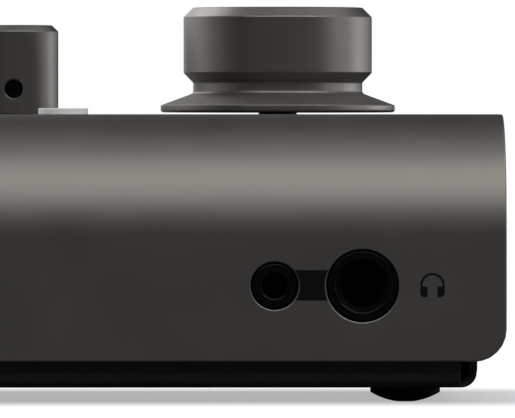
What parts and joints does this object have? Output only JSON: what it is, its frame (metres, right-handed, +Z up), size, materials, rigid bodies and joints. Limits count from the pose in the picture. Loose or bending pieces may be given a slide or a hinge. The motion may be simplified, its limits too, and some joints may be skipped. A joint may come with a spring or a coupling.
{
  "type": "audio interface",
  "caption": "Desktop audio interface: bent metal shell over a black base pan, with a large volume knob, gain knobs, push buttons, and sockets front and rear.",
  "frame": {"origin": "on the table under the middle of the body, level with the flats of the feet", "axes": "+X to the right along the front face, +Y from the front to the rear, +Z up"},
  "size_m": [0.1334, 0.12, 0.0609],
  "materials": {
    "shell_paint": "fine satin, dark warm grey",
    "black_steel": "black satin",
    "rubber": "matt",
    "knob_metal": "turned and anodised, dark grey",
    "black_metal": "black oxide",
    "bright_metal": "bright",
    "brass": "plain",
    "board": "solder mask",
    "black_plastic": "moulded",
    "chip_resin": "moulded",
    "sleeve_plastic": "shrunk sleeve",
    "milky_plastic": "milky clear",
    "pale_plastic": "moulded, light grey"
  },
  "bodies": {
    "base": {"base_pan": "black_steel", "base_screw_front_left": "bright_metal", "base_screw_front_right": "bright_metal", "base_screw_rear_left": "bright_metal", "base_screw_rear_right": "bright_metal", "board_link": "black_plastic", "boss_front_left": "bright_metal", "boss_front_right": "bright_metal", "boss_rear_left": "bright_metal", "boss_rear_right": "bright_metal", "combi_screw_lower": "black_metal", "combi_screw_upper": "black_metal", "control_board": "board", "converter_chip": "chip_resin", "di_gain_pot": "black_plastic", "di_jack": "black_plastic", "foot_front_left": "rubber", "foot_front_right": "rubber", "foot_rear_left": "rubber", "foot_rear_right": "rubber", "function_switch": "black_plastic", "line_out_left": "black_plastic", "line_out_right": "black_plastic", "main_board": "board", "meter_light_pipe": "milky_plastic", "mic_combi_socket": "black_plastic", "mic_gain_pot": "black_plastic", "monitor_switch": "black_plastic", "phantom_switch": "black_plastic", "phones_jack_large": "black_plastic", "phones_jack_small": "black_plastic", "phones_switch": "black_plastic", "pillar_front_left": "brass", "pillar_front_right": "brass", "pillar_rear_left": "brass", "pillar_rear_right": "brass", "shell": "shell_paint", "standoff_front_left": "brass", "standoff_front_right": "brass", "standoff_rear_left": "brass", "standoff_rear_right": "brass", "supply_capacitor_left": "sleeve_plastic", "supply_capacitor_right": "sleeve_plastic", "usb_chip": "chip_resin", "usb_socket": "bright_metal", "volume_encoder": "black_plastic"},
    "volume": {"volume_knob": "knob_metal", "volume_shaft": "black_metal", "volume_set_screw": "black_metal"},
    "mic_gain": {"mic_gain_knob": "knob_metal", "mic_gain_shaft": "black_metal", "mic_gain_set_screw": "black_metal"},
    "di_gain": {"di_gain_knob": "knob_metal", "di_gain_shaft": "black_metal", "di_gain_set_screw": "black_metal"},
    "function_button": {"function_button": "pale_plastic"},
    "monitor_button": {"monitor_button": "pale_plastic"},
    "phones_button": {"phones_button": "pale_plastic"},
    "phantom_button": {"phantom_button": "pale_plastic"}
  },
  "joints": [
    {"name": "volume_turn", "type": "hinge", "parent": "base", "child": "volume", "pos_m": [0.0328, 0, 0.044], "axis": [0, 0, 1], "continuous": true},
    {"name": "mic_gain_turn", "type": "hinge", "parent": "base", "child": "mic_gain", "pos_m": [-0.042, 0.03, 0.044], "axis": [0, 0, 1], "range_deg": [-150, 150]},
    {"name": "di_gain_turn", "type": "hinge", "parent": "base", "child": "di_gain", "pos_m": [-0.0088, 0.03, 0.044], "axis": [0, 0, 1], "range_deg": [-150, 150]},
    {"name": "function_press", "type": "slide", "parent": "base", "child": "function_button", "axis": [0, 0, -1], "range_m": [0, 0.0005], "stiffness_N_per_m": 2400, "springref_m": -0.0003},
    {"name": "monitor_press", "type": "slide", "parent": "base", "child": "monitor_button", "axis": [0, 0, -1], "range_m": [0, 0.0005], "stiffness_N_per_m": 2400, "springref_m": -0.0003},
    {"name": "phones_press", "type": "slide", "parent": "base", "child": "phones_button", "axis": [0, 0, -1], "range_m": [0, 0.0005], "stiffness_N_per_m": 2400, "springref_m": -0.0003},
    {"name": "phantom_press", "type": "slide", "parent": "base", "child": "phantom_button", "axis": [0, 0, -1], "range_m": [0, 0.0005], "stiffness_N_per_m": 2400, "springref_m": -0.0003}
  ]
}
